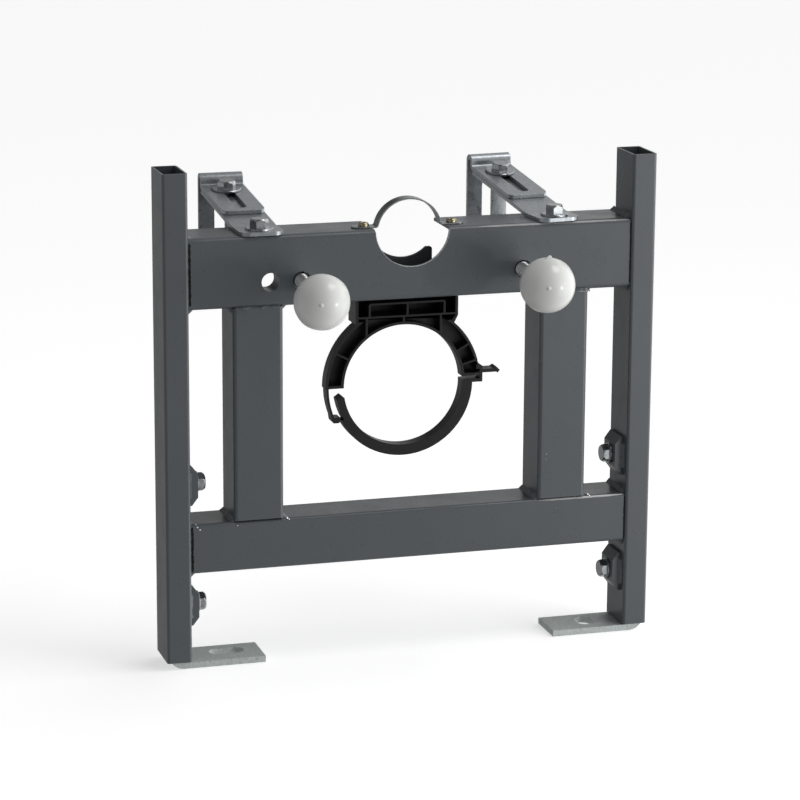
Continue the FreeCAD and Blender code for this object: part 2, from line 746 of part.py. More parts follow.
def soil_clip_strap():
    """Closing strap of the clip: half ring, latch box and release lever."""
    y0 = clip_front
    y1 = clip_front + clip_ring_depth
    depth = V(0, y1 - y0, 0)
    reach = 2 * clip_outer_radius
    ring = clip_disc(clip_strap_radius, y0, y1)
    ring = ring.cut(clip_disc(clip_bore_radius, y0 - 1, y1 + 1))
    left = block(clip_x - reach, clip_x, y0, y1, clip_z - reach, clip_strap_left_z)
    right = block(clip_x, clip_x + reach, y0, y1, clip_z - reach, clip_strap_right_z)
    ring = ring.common(left.fuse(right))

    # The strap is thinner above the hook and ends in a small pointed lip
    slim = clip_strap_radius - hook_recess
    recess = clip_disc(clip_strap_radius + 1, y0 - 1, y1 + 1)
    recess = recess.cut(clip_disc(slim, y0 - 2, y1 + 2))
    recess = recess.common(block(clip_x - reach, clip_x, y0 - 1, y1 + 1,
                                 hook_seat_z, clip_z))
    ring = ring.cut(recess)
    lip_z = clip_strap_left_z
    lip = polygon_prism(
        ((clip_side_x(slim, lip_z - 0.5), y0, lip_z - 0.5),
         (clip_side_x(slim, lip_z), y0, lip_z),
         (clip_side_x(clip_bore_radius + 1.8, lip_z + 2.8), y0, lip_z + 2.8),
         (clip_side_x(clip_bore_radius, lip_z + 1.2), y0, lip_z + 1.2),
         (clip_side_x(clip_bore_radius, lip_z - 0.5), y0, lip_z - 0.5)), depth)
    ring = ring.fuse(lip)

    # Latch: floor, upright wall with an inward barb, and the lever outside it
    x_end = latch_wall_x + latch_wall
    z0 = clip_strap_right_z - latch_floor
    top = z0 + latch_height
    barb_x = flange_end_x + snap_gap
    latch = block(clip_x + clip_bore_radius + 1.0, x_end, y0, y1, z0, clip_strap_right_z)
    wall = polygon_prism(
        ((latch_wall_x, y0, z0), (x_end, y0, z0), (x_end, y0, top),
         (latch_wall_x - 1.5, y0, top + 2.6), (barb_x, y0, top + 0.4),
         (barb_x, y0, top - barb_height), (latch_wall_x, y0, top - barb_height)), depth)
    tip = x_end + lever_length
    lever_top = top - 2.7
    lever_foot = lever_top - lever_thickness
    lever = polygon_prism(
        ((x_end - 1, y0, lever_foot), (tip - 3.2, y0, lever_foot),
         (tip - 1.9, y0, lever_foot - 0.9), (tip, y0, lever_foot + 1.3),
         (tip - 3.0, y0, lever_top + 1.5), (tip - 5.5, y0, lever_top),
         (x_end - 1, y0, lever_top)), depth)
    return ring.fuse(latch).fuse(wall).fuse(lever).removeSplitter()


def main():
    left = post()
    save(left, "left_post")
    save(mirrored(left), "right_post")
    for name, z in (("lower", lug_centres[0]), ("upper", lug_centres[1])):
        lug = clamp_lug(z)
        bolt = clamp_bolt(z)
        save(lug, "left_" + name + "_clamp_lug")
        save(mirrored(lug), "right_" + name + "_clamp_lug")
        save(bolt, "left_" + name + "_clamp_bolt")
        save(mirrored(bolt), "right_" + name + "_clamp_bolt")
    save(foot(left_foot_slot_from_post, left_foot_slot_back,
              left_foot_slot_length, "x"), "left_foot")
    save(mirrored(foot(right_foot_slot_from_post, right_foot_slot_back,
                       right_foot_slot_length, "y")), "right_foot")

    save(upper_crossbar(), "upper_crossbar")
    lower_y = bar_setback
    save(box_tube(-post_inner_x, post_inner_x, lower_y, lower_y + lower_bar_size,
                  lower_bar_bottom, lower_bar_top, V(1, 0, 0),
                  lower_bar_radius, lower_bar_wall), "lower_crossbar")
    for side, name in ((-1, "left_upright"), (1, "right_upright")):
        x = side * upright_spacing / 2
        save(box_tube(x - upright_size / 2, x + upright_size / 2,
                      lower_y, lower_y + upright_size, lower_bar_top, channel_bottom,
                      V(0, 0, 1), lower_bar_radius, lower_bar_wall), name)

    for sign, side, droop in ((-1, "left", left_stud_droop), (1, "right", right_stud_droop)):
        for spacing, name in ((outer_hole_spacing, "_outer_sleeve"),
                              (stud_spacing, "_stud_sleeve")):
            save(sleeve(sign * spacing / 2, pan_hole_diameter), side + name)
        save(stud(sign * stud_spacing / 2, droop), side + "_stud")
        save(ball_cap(sign * stud_spacing / 2, droop), side + "_ball_cap")
        save(bracket_arm(side), side + "_bracket_arm")
        save(arm_bolt(side), side + "_arm_bolt")
        save(plate_bolt(side), side + "_plate_bolt")
        save(wall_plate(side), side + "_wall_plate")
        save(strap_screw(flush_x + sign * strap_screw_offset), side + "_strap_screw")

    save(saddle_plate(), "saddle_plate")
    save(flush_strap(), "flush_strap")
    save(soil_clip_upper(), "soil_clip_upper")
    save(soil_clip_strap(), "soil_clip_strap")


main()
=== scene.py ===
import bpy
import bmesh
import json
import math
import random
from mathutils import Matrix, Vector


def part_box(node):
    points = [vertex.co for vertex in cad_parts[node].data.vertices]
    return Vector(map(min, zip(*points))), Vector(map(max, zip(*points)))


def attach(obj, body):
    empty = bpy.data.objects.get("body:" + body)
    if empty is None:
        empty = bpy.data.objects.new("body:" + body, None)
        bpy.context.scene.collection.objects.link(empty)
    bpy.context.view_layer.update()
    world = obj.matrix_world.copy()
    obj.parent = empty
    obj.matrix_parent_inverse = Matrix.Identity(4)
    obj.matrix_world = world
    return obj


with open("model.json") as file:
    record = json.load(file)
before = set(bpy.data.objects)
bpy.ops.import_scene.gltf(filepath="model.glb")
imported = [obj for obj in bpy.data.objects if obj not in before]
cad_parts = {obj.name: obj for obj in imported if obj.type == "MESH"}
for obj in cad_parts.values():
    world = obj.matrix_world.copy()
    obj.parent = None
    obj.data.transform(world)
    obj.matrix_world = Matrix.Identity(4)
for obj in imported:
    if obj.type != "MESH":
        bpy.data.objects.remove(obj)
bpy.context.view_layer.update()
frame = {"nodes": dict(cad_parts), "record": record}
nodes = frame["nodes"]
scene = bpy.context.scene
scene.view_settings.view_transform = "Standard"

# Sizes and places of pieces are in millimetres, and MM turns them into metres. Those of the
# lamps, the floor and the materials are in metres, and so are the camera's place and range.
# Its lens and sensor are in millimetres.
MM = 0.001


# Camera
CAMERA_PLACE = (-0.6957, -2.28705, 0.7856)
CAMERA_YAW = math.radians(16.66)
CAMERA_PITCH = math.radians(13.63)
CAMERA_ROLL = math.radians(0.34)
CAMERA_LENS = 140.74
CAMERA_SENSOR = 36.0
CAMERA_NEAREST = 0.05
CAMERA_FARTHEST = 50.0


def make_camera():
    """Camera that looks down at the frame from its left, as in the photo."""
    forward = Vector((math.sin(CAMERA_YAW) * math.cos(CAMERA_PITCH),
                      math.cos(CAMERA_YAW) * math.cos(CAMERA_PITCH),
                      -math.sin(CAMERA_PITCH)))
    level_right = Vector((math.cos(CAMERA_YAW), -math.sin(CAMERA_YAW), 0.0))
    level_up = level_right.cross(forward)
    right = math.cos(CAMERA_ROLL) * level_right + math.sin(CAMERA_ROLL) * level_up
    up = -math.sin(CAMERA_ROLL) * level_right + math.cos(CAMERA_ROLL) * level_up
    data = bpy.data.cameras.new("camera")
    data.lens = CAMERA_LENS
    data.sensor_width = CAMERA_SENSOR
    data.clip_start = CAMERA_NEAREST
    data.clip_end = CAMERA_FARTHEST
    camera = bpy.data.objects.new("camera", data)
    scene.collection.objects.link(camera)
    turn = Matrix((right, up, -forward)).transposed()
    camera.matrix_world = Matrix.Translation(CAMERA_PLACE) @ turn.to_4x4()
    scene.camera = camera


make_camera()


# Materials
NOISE_LOW = 0.3
NOISE_HIGH = 0.7
EDGE_SAMPLES = 4
PAINT_LEVEL = 0.095
PAINT_TONE = ((0.855, 0.97, 1.05), (0.925, 1.045, 1.13))
# Tone of the painted highlights on the crossbars' bent edges and on one weld end
HIGHLIGHT_TONE = ((0.93, 0.95, 0.95), (1.02, 1.04, 1.04))


def new_material(name):
    """Empty material with one shader that goes to its surface."""
    material = bpy.data.materials.new(name)
    material.use_nodes = True
    tree = material.node_tree
    tree.nodes.clear()
    out = tree.nodes.new("ShaderNodeOutputMaterial")
    shader = tree.nodes.new("ShaderNodeBsdfPrincipled")
    link(tree, shader.outputs["BSDF"], out.inputs["Surface"])
    return material, tree, shader


def link(tree, source, target):
    tree.links.new(source, target)


def coords(tree):
    return tree.nodes.new("ShaderNodeTexCoord").outputs["Object"]


def noise(tree, where, scale, detail=2.0, roughness=0.5):
    made = tree.nodes.new("ShaderNodeTexNoise")
    made.inputs["Scale"].default_value = scale
    made.inputs["Detail"].default_value = detail
    made.inputs["Roughness"].default_value = roughness
    link(tree, where, made.inputs["Vector"])
    return made.outputs["Fac"]


def stretched(tree, where, scale):
    made = tree.nodes.new("ShaderNodeMapping")
    made.inputs["Scale"].default_value = scale
    link(tree, where, made.inputs["Vector"])
    return made.outputs["Vector"]


def ramp(tree, factor, stops):
    """Colour that follows a factor. Each stop is a place from 0 to 1 and its colour."""
    made = tree.nodes.new("ShaderNodeValToRGB")
    band = made.color_ramp
    while len(band.elements) < len(stops):
        band.elements.new(0.5)
    for element, (place, colour) in zip(band.elements, stops):
        element.position = place
        element.color = (*colour, 1.0)
    link(tree, factor, made.inputs["Fac"])
    return made.outputs["Color"]


def mottled(tree, factor, dark, light):
    """Colour that varies between two tones over the range that a noise mostly keeps to."""
    return ramp(tree, factor, ((NOISE_LOW, dark), (NOISE_HIGH, light)))


def spread(tree, factor, low, high):
    """Number that varies between two values over the range that a noise mostly keeps to."""
    made = tree.nodes.new("ShaderNodeMapRange")
    made.inputs["From Min"].default_value = NOISE_LOW
    made.inputs["From Max"].default_value = NOISE_HIGH
    made.inputs["To Min"].default_value = low
    made.inputs["To Max"].default_value = high
    link(tree, factor, made.inputs["Value"])
    return made.outputs["Result"]


def soft_edges(tree, radius):
    """Rounded look for sheared and moulded edges."""
    made = tree.nodes.new("ShaderNodeBevel")
    made.samples = EDGE_SAMPLES
    made.inputs["Radius"].default_value = radius
    return made.outputs["Normal"]


def bump(tree, shader, height, strength, distance, after=None):
    """Bump on the shader's normal, on top of an earlier one if there is one."""
    made = tree.nodes.new("ShaderNodeBump")
    made.inputs["Strength"].default_value = strength
    made.inputs["Distance"].default_value = distance
    link(tree, height, made.inputs["Height"])
    if after is not None:
        link(tree, after, made.inputs["Normal"])
    link(tree, made.outputs["Normal"], shader.inputs["Normal"])
    return made.outputs["Normal"]


def paint_material(name, level, roughness, tone=PAINT_TONE):
    """Smooth grey paint with a faint broad mottle and shallow waves."""
    material, tree, shader = new_material(name)
    where = coords(tree)
    dark, light = (tuple(part * level for part in shade) for shade in tone)
    patch = noise(tree, where, scale=11.0, detail=4.0, roughness=0.6)
    link(tree, mottled(tree, patch, dark, light), shader.inputs["Base Color"])
    sheen = noise(tree, where, scale=55.0, detail=4.0, roughness=0.6)
    link(tree, spread(tree, sheen, roughness - 0.05, roughness + 0.06), shader.inputs["Roughness"])
    shader.inputs["Specular IOR Level"].default_value = 0.5
    edge = soft_edges(tree, radius=0.0003)
    broad = noise(tree, where, scale=260.0)
    waves = bump(tree, shader, broad, strength=0.06, distance=0.0004, after=edge)
    fine = noise(tree, where, scale=900.0, detail=1.0)
    bump(tree, shader, fine, strength=0.05, distance=0.0002, after=waves)
    return material


def galvanised_material():
    """Rough, speckled zinc, as on the feet."""
    material, tree, shader = new_material("galvanised_steel")
    where = coords(tree)
    patch = noise(tree, where, scale=420.0, detail=6.0, roughness=0.75)
    speckle = ramp(tree, patch, ((0.32, (0.31, 0.345, 0.34)), (0.42, (0.45, 0.49, 0.48)),
                                 (0.68, (0.58, 0.62, 0.61))))
    link(tree, speckle, shader.inputs["Base Color"])
    shader.inputs["Metallic"].default_value = 0.35
    sheen = noise(tree, where, scale=120.0, detail=3.0)
    link(tree, spread(tree, sheen, 0.45, 0.65), shader.inputs["Roughness"])
    edge = soft_edges(tree, radius=0.0006)
    bump(tree, shader, patch, strength=0.5, distance=0.0004, after=edge)
    return material


def zinc_material(name, dark, light, roughness, metallic=1.0):
    """Bright plated steel with faint rolling lines. roughness is its lowest and highest."""
    material, tree, shader = new_material(name)
    where = coords(tree)
    patch = noise(tree, where, scale=420.0, detail=3.0)
    link(tree, mottled(tree, patch, dark, light), shader.inputs["Base Color"])
    shader.inputs["Metallic"].default_value = metallic
    sheen = noise(tree, where, scale=160.0, detail=4.0)
    link(tree, spread(tree, sheen, *roughness), shader.inputs["Roughness"])
    edge = soft_edges(tree, radius=0.0005)
    rolled = noise(tree, stretched(tree, where, (1.0, 0.12, 1.0)), scale=900.0)
    broad = noise(tree, where, scale=90.0)
    waves = bump(tree, shader, broad, strength=0.06, distance=0.0006, after=edge)
    bump(tree, shader, rolled, strength=0.04, distance=0.0002, after=waves)
    return material


def white_material():
    """Glossy white plastic of the ball caps."""
    material, tree, shader = new_material("white_cap")
    where = coords(tree)
    patch = noise(tree, where, scale=40.0)
    link(tree, mottled(tree, patch, (0.70, 0.71, 0.69), (0.74, 0.75, 0.73)),
         shader.inputs["Base Color"])
    sheen = noise(tree, where, scale=120.0)
    link(tree, spread(tree, sheen, 0.19, 0.24), shader.inputs["Roughness"])
    waves = noise(tree, where, scale=140.0)
    bump(tree, shader, waves, strength=0.03, distance=0.0004)
    return material


def black_material():
    """Black plastic of the pipe clip, with a fine moulded grain."""
    material, tree, shader = new_material("black_plastic")
    where = coords(tree)
    patch = noise(tree, where, scale=50.0, detail=3.0)
    link(tree, mottled(tree, patch, (0.010, 0.010, 0.010), (0.014, 0.014, 0.014)),
         shader.inputs["Base Color"])
    shader.inputs["Specular IOR Level"].default_value = 0.28
    sheen = noise(tree, where, scale=200.0, detail=3.0)
    link(tree, spread(tree, sheen, 0.30, 0.40), shader.inputs["Roughness"])
    edge = soft_edges(tree, radius=0.0004)
    grain = noise(tree, where, scale=1600.0)
    bump(tree, shader, grain, strength=0.15, distance=0.0002, after=edge)
    return material


def gap_shade_material():
    """Near black painted shade for the open gaps beside the bars."""
    material, tree, shader = new_material("gap_shadow")
    where = coords(tree)
    patch = noise(tree, where, scale=300.0, detail=3.0)
    link(tree, mottled(tree, patch, (0.006, 0.006, 0.006), (0.018, 0.018, 0.018)),
         shader.inputs["Base Color"])
    sheen = noise(tree, where, scale=500.0)
    link(tree, spread(tree, sheen, 0.7, 0.9), shader.inputs["Roughness"])
    shader.inputs["Specular IOR Level"].default_value = 0.1
    return material


materials = {
    "frame_paint": paint_material("frame_paint", PAINT_LEVEL, 0.30),
    "galvanised_steel": galvanised_material(),
    "zinc_plate": zinc_material("zinc_plate", dark=(0.28, 0.30, 0.315), light=(0.38, 0.40, 0.42),
                                roughness=(0.25, 0.37), metallic=0.72),
    "yellow_zinc": zinc_material("yellow_zinc", dark=(0.30, 0.26, 0.16), light=(0.44, 0.39, 0.26),
                                 roughness=(0.2, 0.3)),
    "bright_steel": zinc_material("bright_steel", dark=(0.74, 0.75, 0.76), light=(0.86, 0.87, 0.88),
                                  roughness=(0.14, 0.24)),
    "white_cap": white_material(),
    "black_plastic": black_material(),
}
# Frame paint a quarter lighter on the welds: a painted lift against the shade they sit in
lightened_weld_paint = paint_material("lightened_weld_paint", 1.25 * PAINT_LEVEL, 0.32)
# Paint lifted to 5.6, 2.9 and 1.35 times its level: painted highlights along the crossbars' bent
# top front edges, and on one weld end
bright_edge_highlight = paint_material("bright_edge_highlight", 5.6 * PAINT_LEVEL, 0.30, HIGHLIGHT_TONE)
pale_edge_highlight = paint_material("pale_edge_highlight", 2.9 * PAINT_LEVEL, 0.30, HIGHLIGHT_TONE)
dim_edge_highlight = paint_material("dim_edge_highlight", 1.35 * PAINT_LEVEL, 0.30)
gap_shadow = gap_shade_material()
bolt_zinc = zinc_material("bolt_zinc", dark=(0.30, 0.31, 0.32), light=(0.43, 0.45, 0.46),
                          roughness=(0.16, 0.26))
strap_zinc = zinc_material("strap_zinc", dark=(0.20, 0.215, 0.22), light=(0.29, 0.31, 0.315),
                           roughness=(0.22, 0.34))


def dress(thing, material):
    thing.data.materials.clear()
    thing.data.materials.append(material)


def dress_frame():
    """Give each solid of the frame the material of its slot, and some zinc pieces their own."""
    for subpart in frame["record"]["subparts"]:
        dress(nodes[subpart["node"]], materials[subpart["material_slot"]])
    for name, node in nodes.items():
        if name.endswith("_bolt"):
            dress(node, bolt_zinc)
    dress(nodes["flush_strap"], strap_zinc)


dress_frame()


# Places taken from the frame
LOW = 0
HIGH = 1


def side_of(node, end, axis):
    """Where a node begins (LOW) or ends (HIGH) along an axis, to 0.1 mm."""
    return round(getattr(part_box(node)[end], axis) / MM, 1)


def centre_of(node, axis):
    return round((side_of(node, LOW, axis) + side_of(node, HIGH, axis)) / 2, 1)


POST_SIDE = side_of("right_post", LOW, "x")
UPRIGHT_SIDES = (side_of("left_upright", LOW, "x"), side_of("left_upright", HIGH, "x"),
                 side_of("right_upright", LOW, "x"), side_of("right_upright", HIGH, "x"))
BAR_FRONT = side_of("upper_crossbar", LOW, "y")
UPPER_TOP = side_of("upper_crossbar", HIGH, "z")
UPPER_BOTTOM = side_of("upper_crossbar", LOW, "z")
LOWER_TOP = side_of("lower_crossbar", HIGH, "z")
LOWER_BOTTOM = side_of("lower_crossbar", LOW, "z")
LUG_FRONT = side_of("left_lower_clamp_lug", LOW, "y")
LUG_REAR = side_of("left_lower_clamp_lug", HIGH, "y")
LUG_CENTRES = (centre_of("left_lower_clamp_lug", "z"), centre_of("left_upper_clamp_lug", "z"))
OUTER_HOLE_X = centre_of("right_outer_sleeve", "x")
STUD_X = centre_of("right_stud_sleeve", "x")
HOLE_Z = centre_of("right_stud_sleeve", "z")
SLEEVE_FRONT = side_of("right_stud_sleeve", LOW, "y")
SLEEVE_RADIUS = HOLE_Z - side_of("right_stud_sleeve", LOW, "z")
SADDLE_FRONT = side_of("saddle_plate", LOW, "y")
SADDLE_REAR = side_of("saddle_plate", HIGH, "y")
SADDLE_FOOT = side_of("saddle_plate", LOW, "z")
FLUSH_X = centre_of("saddle_plate", "x")


# Making pieces
def finish_piece(shape, name, body, material, smooth=True):
    """Turn a shape into a piece that rides on a body and wears the given material."""
    bmesh.ops.recalc_face_normals(shape, faces=shape.faces)
    mesh = bpy.data.meshes.new(name)
    shape.to_mesh(mesh)
    shape.free()
    if smooth:
        mesh.polygons.foreach_set("use_smooth", [True] * len(mesh.polygons))
    piece = bpy.data.objects.new(name, mesh)
    scene.collection.objects.link(piece)
    dress(piece, material)
    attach(piece, body)
    return piece


def add_ring(shape, points):
    """Corners of the shape at a list of points in millimetres."""
    return [shape.verts.new(point * MM) for point in points]


def neighbours(rings, closed=False):
    pairs = list(zip(rings, rings[1:]))
    if closed:
        pairs.append((rings[-1], rings[0]))
    return pairs


def skin(shape, rings, closed=False):
    """Faces from each ring to the next, and one over each end unless the row is closed.
    Returns the faces over the ends."""
    count = len(rings[0])
    for one, two in neighbours(rings, closed):
        for i in range(count):
            after = (i + 1) % count
            shape.faces.new((one[i], one[after], two[after], two[i]))
    if closed:
        return []
    return [shape.faces.new(rings[0]), shape.faces.new(list(reversed(rings[-1])))]


def rounded_plate(outline, front, rear, rounding):
    """Flat plate with rounded edges. outline holds x and z, front and rear are y."""
    shape = bmesh.new()
    near = add_ring(shape, [Vector((x, front, z)) for x, z in outline])
    far = add_ring(shape, [Vector((x, rear, z)) for x, z in outline])
    shape.faces.new(near)
    shape.faces.new(list(reversed(far)))
    for i in range(len(outline)):
        after = (i + 1) % len(outline)
        shape.faces.new((near[i], near[after], far[after], far[i]))
    bmesh.ops.bevel(shape, geom=list(shape.edges), offset=rounding * MM, segments=2, profile=0.5,
                    affect="EDGES")
    return shape


def lathe(shape, profile, origin, axis, segments, closed=False):
    """Turn a profile of radius and height about an axis."""
    axis = Vector(axis).normalized()
    side = axis.orthogonal().normalized()
    other = axis.cross(side)
    rings = []
    for radius, height in profile:
        centre = Vector(origin) + height * axis
        if radius == 0:
            rings.append(add_ring(shape, [centre]))
            continue
        turns = [2 * math.pi * i / segments for i in range(segments)]
        rings.append(add_ring(shape, [
            centre + radius * (math.cos(turn) * side + math.sin(turn) * other) for turn in turns]))
    for one, two in neighbours(rings, closed):
        for i in range(segments):
            after = (i + 1) % segments
            if len(one) == 1:
                shape.faces.new((one[0], two[after], two[i]))
            elif len(two) == 1:
                shape.faces.new((one[i], one[after], two[0]))
            else:
                shape.faces.new((one[i], one[after], two[after], two[i]))


# Welds
BEAD_STEP = 0.6
BEAD_FACETS = 6
BEAD_SINK = 0.3
BEAD_ROUGHNESS = 0.03
# Length of one ripple, and points between two draws of a bead's size and lean
BEAD_PITCH = (2.2, 2.8)
BEAD_STRIDE = 5
BEAD_RIPPLE_POWER = 0.7
# Shares of the leg: a bead's size and crown, and what the ripples and draws add to them
BEAD_SIZE = 0.90
BEAD_SIZE_RIPPLE = 0.05
BEAD_SIZE_DRIFT = 0.10
BEAD_LEAN = 0.18
BEAD_CROWN = -0.05
BEAD_CROWN_RIPPLE = 0.07
# Largest leg that the crown grows with, and how much of the crown goes each way
BEAD_CROWN_LEG = 4.0
BEAD_SWELL = 0.7
# Share of its size that a bead has at the points nearest to an end
BEAD_ENDS = (0.35, 0.72, 0.92)
# Front and rear ends of the welds that run from front to rear
UPPER_WELD = (5.2, 43.5)
LOWER_WELD = (4.2, 41.0)
UPRIGHT_TOP_WELD = (5.6, 41.0)
LUG_WELD_REACH = 11.0
SLEEVE_WELD_POINTS = 72
# Near and far end of the saddle's welds, from the middle of the flush pipe
SADDLE_WELD = (9.0, 22.5)
FRONT_BEAD_Y = 5.6
FRONT_BEAD_DROP = 0.6
# Ends of the lighter bead that paints a highlight on the weld at the top of the right upright
HIGHLIT_BEAD_START = (134.0, 4.4, UPPER_BOTTOM - 1.0)
HIGHLIT_BEAD_END = (145.5, 4.4, UPPER_BOTTOM - 1.6)


def run(start, end):
    """Evenly spaced points from start to end."""
    start, end = Vector(start), Vector(end)
    count = max(4, int((end - start).length / BEAD_STEP))
    return [start.lerp(end, i / count) for i in range(count + 1)]


def between(values, place):
    """Value at a place that lies between the whole numbers."""
    low = int(place)
    part = place - low
    return values[low] * (1 - part) + values[low + 1] * part


def bead_section(corner, first, second, size, lean, crown, rng):
    """Outline across a weld: its hidden corner, and an uneven face from side to side."""
    along_first = size * (1.0 + BEAD_LEAN * lean)
    along_second = size * (1.0 - BEAD_LEAN * lean)
    points = [corner - BEAD_SINK * first - BEAD_SINK * second,
              corner + along_first * first - BEAD_SINK * second]
    for i in range(BEAD_FACETS + 1):
        share = i / BEAD_FACETS
        swell = crown * 4.0 * share * (1.0 - share)
        if 0 < i < BEAD_FACETS:
            swell += rng.uniform(-BEAD_ROUGHNESS, BEAD_ROUGHNESS)
        points.append(corner + (along_first * (1 - share) + BEAD_SWELL * swell) * first
                      + (along_second * share + BEAD_SWELL * swell) * second)
    points.append(corner - BEAD_SINK * first + along_second * second)
    return points


def bead(shape, path, first, second, leg, rng, closed=False):
    """Fillet weld laid along a corner. path holds its points, and first and second point
    away from the corner along the two faces that it joins."""
    pitch = rng.uniform(*BEAD_PITCH)
    shift = rng.uniform(0.0, 1.0)
    draws = len(path) // BEAD_STRIDE + 3
    drift = [rng.uniform(-1.0, 1.0) for _ in range(draws)]
    tilt = [rng.uniform(-1.0, 1.0) for _ in range(draws)]
    rings = []
    travelled = 0.0
    for i, point in enumerate(path):
        if i:
            travelled += (Vector(point) - Vector(path[i - 1])).length
        hump = abs(math.sin(math.pi * (travelled / pitch + shift))) ** BEAD_RIPPLE_POWER
        wander = between(drift, i / BEAD_STRIDE)
        lean = between(tilt, i / BEAD_STRIDE)
        size = leg * (BEAD_SIZE + BEAD_SIZE_RIPPLE * hump + BEAD_SIZE_DRIFT * wander)
        crown = min(leg, BEAD_CROWN_LEG) * (BEAD_CROWN + BEAD_CROWN_RIPPLE * hump)
        to_end = min(i, len(path) - 1 - i)
        if not closed and to_end < len(BEAD_ENDS):
            size *= BEAD_ENDS[to_end]
        first_way = Vector(first(i) if callable(first) else first)
        second_way = Vector(second(i) if callable(second) else second)
        section = bead_section(Vector(point), first_way, second_way, size, lean, crown, rng)
        rings.append(add_ring(shape, section))
    caps = skin(shape, rings, closed)
    last = len(rings[0]) - 1
    for one, two in neighbours(rings, closed):
        for i in (0, 1, 2, last - 1, last):
            shape.edges.get((one[i], two[i])).smooth = False
    for cap in caps:
        for edge in cap.edges:
            edge.smooth = False


def bar_end_welds():
    """Welds above and below each end of the crossbars, against the posts."""
    rng = random.Random(11)
    shape = bmesh.new()
    for side in (-1, 1):
        x = side * POST_SIDE
        for z, up, (front, rear), leg in ((UPPER_TOP, 1, UPPER_WELD, 3.6),
                                          (UPPER_BOTTOM, -1, UPPER_WELD, 4.6),
                                          (LOWER_TOP, 1, LOWER_WELD, 3.0),
                                          (LOWER_BOTTOM, -1, LOWER_WELD, 4.4)):
            bead(shape, run((x, front, z), (x, rear, z)), (-side, 0, 0), (0, 0, up), leg, rng)
    finish_piece(shape, "bar_end_welds", "frame", lightened_weld_paint)


def upright_welds():
    """Welds along both sides of each upright, at its foot and its top."""
    rng = random.Random(12)
    shape = bmesh.new()
    for x, away in zip(UPRIGHT_SIDES, (-1, 1, -1, 1)):
        for z, up, (front, rear), leg in ((LOWER_TOP, 1, LOWER_WELD, 3.6),
                                          (UPPER_BOTTOM, -1, UPRIGHT_TOP_WELD, 4.0)):
            bead(shape, run((x, front, z), (x, rear, z)), (away, 0, 0), (0, 0, up), leg, rng)
    finish_piece(shape, "upright_welds", "frame", lightened_weld_paint)


def lug_welds():
    """Welds in front of and behind each clamp lug."""
    rng = random.Random(13)
    shape = bmesh.new()
    for side in (-1, 1):
        x = side * POST_SIDE
        for z in LUG_CENTRES:
            for y, out in ((LUG_FRONT, -1), (LUG_REAR, 1)):
                bead(shape, run((x, y, z - LUG_WELD_REACH), (x, y, z + LUG_WELD_REACH)),
                     (0, out, 0), (-side, 0, 0), 2.6, rng)
    finish_piece(shape, "lug_welds", "frame", lightened_weld_paint)


def sleeve_welds():
    """Weld round each sleeve, behind the channel's front."""
    rng = random.Random(14)
    shape = bmesh.new()
    turns = [2 * math.pi * i / SLEEVE_WELD_POINTS for i in range(SLEEVE_WELD_POINTS)]
    for x in (-OUTER_HOLE_X, -STUD_X, STUD_X, OUTER_HOLE_X):
        path = [(x + SLEEVE_RADIUS * math.cos(turn), SLEEVE_FRONT,
                 HOLE_Z + SLEEVE_RADIUS * math.sin(turn)) for turn in turns]
        bead(shape, path, (0, 1, 0), lambda i: (math.cos(turns[i]), 0, math.sin(turns[i])),
             2.4, rng, closed=True)
    finish_piece(shape, "sleeve_welds", "frame", lightened_weld_paint)


def saddle_welds():
    """Welds at the foot of the saddle plate, left and right of its notch."""
    rng = random.Random(15)
    shape = bmesh.new()
    near, far = SADDLE_WELD
    for y, out in ((SADDLE_FRONT, -1), (SADDLE_REAR, 1)):
        for left, right in ((FLUSH_X - far, FLUSH_X - near), (FLUSH_X + near, FLUSH_X + far)):
            bead(shape, run((left, y, SADDLE_FOOT), (right, y, SADDLE_FOOT)),
                 (0, out, 0), (0, 0, 1), 2.6, rng)
    finish_piece(shape, "saddle_welds", "frame", lightened_weld_paint)


def upright_top_beads():
    """Beads laid along the front of each upright, under the channel's bent edge."""
    rng = random.Random(17)
    shape = bmesh.new()
    z = UPPER_BOTTOM - FRONT_BEAD_DROP
    for left, right in ((UPRIGHT_SIDES[0] + 1.5, UPRIGHT_SIDES[1] - 1.5),
                        (UPRIGHT_SIDES[2] + 1.5, UPRIGHT_SIDES[3] - 1.0)):
        bead(shape, run((left, FRONT_BEAD_Y, z), (right, FRONT_BEAD_Y, z)),
             (0, -1, 0), (0, 0, 1), 3.9, rng)
    finish_piece(shape, "upright_top_beads", "frame", lightened_weld_paint)


def highlit_weld_bead():
    """Painted highlight on the end of the weld at the top of the right upright, as a lighter bead.
    """
    rng = random.Random(19)
    shape = bmesh.new()
    bead(shape, run(HIGHLIT_BEAD_START, HIGHLIT_BEAD_END), (0, -1, 0), (0, 0, 1), 3.2, rng)
    finish_piece(shape, "highlit_weld_bead", "frame", pale_edge_highlight)


# Painted gap shade, chips and painted edge highlights
INLAY_STEP = 1.1
INLAY_DEPTH = 0.4
# Shares of an inlay's half width: at its ends, and drawn for its two borders
INLAY_END = 0.3
INLAY_LOW_BORDER = (0.55, 1.0)
INLAY_HIGH_BORDER = (0.55, 1.15)
# Where the strips of painted shade lie, beside the bars and under the uprights
UPPER_GAP = (UPPER_BOTTOM + 3.6, UPPER_TOP - 3.2)
LOWER_GAP = (LOWER_BOTTOM + 1.8, LOWER_TOP - 1.8)
POST_GAP_Y = BAR_FRONT - 0.06
UPRIGHT_GAP_Y = BAR_FRONT - 0.07
UPRIGHT_GAP_Z = LOWER_TOP + 0.2
UPRIGHT_GAP_INSET = 1.5
